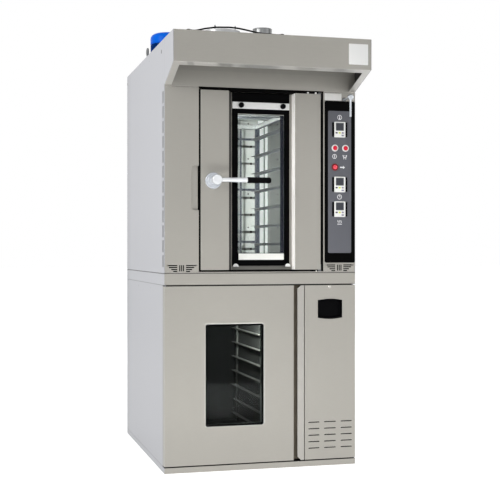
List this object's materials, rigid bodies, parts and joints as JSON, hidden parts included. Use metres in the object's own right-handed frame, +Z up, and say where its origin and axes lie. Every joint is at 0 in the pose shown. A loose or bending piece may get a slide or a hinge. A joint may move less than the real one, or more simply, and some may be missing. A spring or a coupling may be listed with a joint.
{
  "type": "rotating rack oven",
  "caption": "Rotating rack oven with a hood, stacked on a glass-doored proving cabinet with a service compartment, in brushed stainless steel.",
  "frame": {"origin": "on the floor, in the middle of the width and of the whole depth with the hood", "axes": "+X to the right seen from the front, the doors face -Y, +Z up"},
  "size_m": [1, 1.46, 2.376],
  "materials": {
    "front_steel": "satin",
    "side_steel": "satin",
    "liner_steel": "satin",
    "bright_steel": "polished",
    "rack_steel": "satin",
    "black_plastic": "matte",
    "panel_plastic": "satin",
    "white_plastic": "gloss",
    "red_plastic": "gloss",
    "dark_glass": "polished",
    "clear_glass": "polished",
    "rubber": "matte",
    "wool": "matte",
    "motor_paint": "gloss",
    "grey_paint": "satin",
    "white_paint": "satin",
    "bronze": "satin",
    "element_steel": "matte"
  },
  "bodies": {
    "cabinet": {"base_plinth": "front_steel", "lower_side_panels": "side_steel", "back_panels": "side_steel", "lower_front_frame": "liner_steel", "proofer_liner": "liner_steel", "proofer_runners": "liner_steel", "water_tray": "liner_steel", "insulation": "wool", "electrical_board": "grey_paint", "steam_tank": "liner_steel", "mid_band": "front_steel", "oven_side_panels": "side_steel", "oven_front_frame": "front_steel", "oven_liner": "liner_steel", "duct_panel": "liner_steel", "heating_elements": "element_steel", "floor_bearing": "bronze", "roof_panel": "side_steel", "hood_fascia": "front_steel", "hood_filter": "liner_steel", "exhaust_collar": "side_steel", "flue_collar": "liner_steel", "roof_cable": "rubber", "lifting_eyes": "grey_paint", "fan_motor": "motor_paint", "rack_gearmotor": "grey_paint", "control_panel": "panel_plastic", "controllers": "white_plastic", "button_collars": "bright_steel", "plain_plates": "white_paint", "latch_keeper": "grey_paint", "hinge_pins": "bright_steel", "damper_duct": "liner_steel", "proofer_gasket": "rubber"},
    "oven_door": {"door_stiles": "front_steel", "door_window_frame": "liner_steel", "door_outer_glass": "dark_glass", "door_inner_glass": "clear_glass", "glass_holders": "white_paint", "door_gasket": "rubber", "door_hinges": "grey_paint", "handle_rosette": "bright_steel"},
    "knob_left": {"clamp_knob_left": "black_plastic"},
    "knob_right": {"clamp_knob_right": "black_plastic"},
    "handle": {"handle_lever": "bright_steel", "handle_grip": "black_plastic"},
    "rack": {"rack_frame": "rack_steel", "rack_runners": "liner_steel", "rack_shaft": "bright_steel"},
    "fan": {"fan_wheel": "liner_steel"},
    "proofer_leaf": {"proofer_door_skin": "front_steel", "proofer_door_liner": "liner_steel", "proofer_glass": "dark_glass"},
    "service_leaf": {"service_door": "front_steel", "service_pull": "black_plastic"},
    "damper": {"damper_lever": "bright_steel", "damper_flap": "liner_steel"},
    "start_push": {"start_button": "red_plastic"},
    "stop_push": {"stop_button": "red_plastic"},
    "signal_push": {"signal_button": "red_plastic"}
  },
  "joints": [
    {"name": "oven_door_hinge", "type": "hinge", "parent": "cabinet", "child": "oven_door", "pos_m": [0.3095, -0.491, 1.454], "axis": [0, 0, 1], "range_deg": [0, 120]},
    {"name": "handle_turn", "type": "hinge", "parent": "oven_door", "child": "handle", "pos_m": [-0.253, -0.5, 1.451], "axis": [0, 1, 0], "range_deg": [0, 90]},
    {"name": "knob_left_turn", "type": "hinge", "parent": "oven_door", "child": "knob_left", "pos_m": [-0.099, -0.46, 1.838], "axis": [0, -1, 0], "continuous": true},
    {"name": "knob_right_turn", "type": "hinge", "parent": "oven_door", "child": "knob_right", "pos_m": [0.121, -0.46, 1.838], "axis": [0, -1, 0], "continuous": true},
    {"name": "rack_turn", "type": "hinge", "parent": "cabinet", "child": "rack", "pos_m": [0, 0.09, 1.5], "axis": [0, 0, 1], "continuous": true},
    {"name": "fan_spin", "type": "hinge", "parent": "cabinet", "child": "fan", "pos_m": [-0.288, 0.52, 1.95], "axis": [0, 0, 1], "continuous": true},
    {"name": "proofer_door_hinge", "type": "hinge", "parent": "cabinet", "child": "proofer_leaf", "pos_m": [-0.491, -0.478, 0.48], "axis": [0, 0, -1], "range_deg": [0, 110]},
    {"name": "service_door_hinge", "type": "hinge", "parent": "cabinet", "child": "service_leaf", "pos_m": [0.491, -0.478, 0.48], "axis": [0, 0, 1], "range_deg": [0, 110]},
    {"name": "damper_turn", "type": "hinge", "parent": "cabinet", "child": "damper", "pos_m": [0.439, -0.5, 1.88], "axis": [0, -1, 0], "range_deg": [0, 90]},
    {"name": "start_press", "type": "slide", "parent": "cabinet", "child": "start_push", "axis": [0, 1, 0], "range_m": [0, 0.003], "stiffness_N_per_m": 800},
    {"name": "stop_press", "type": "slide", "parent": "cabinet", "child": "stop_push", "axis": [0, 1, 0], "range_m": [0, 0.003], "stiffness_N_per_m": 800},
    {"name": "signal_press", "type": "slide", "parent": "cabinet", "child": "signal_push", "axis": [0, 1, 0], "range_m": [0, 0.003], "stiffness_N_per_m": 800}
  ]
}
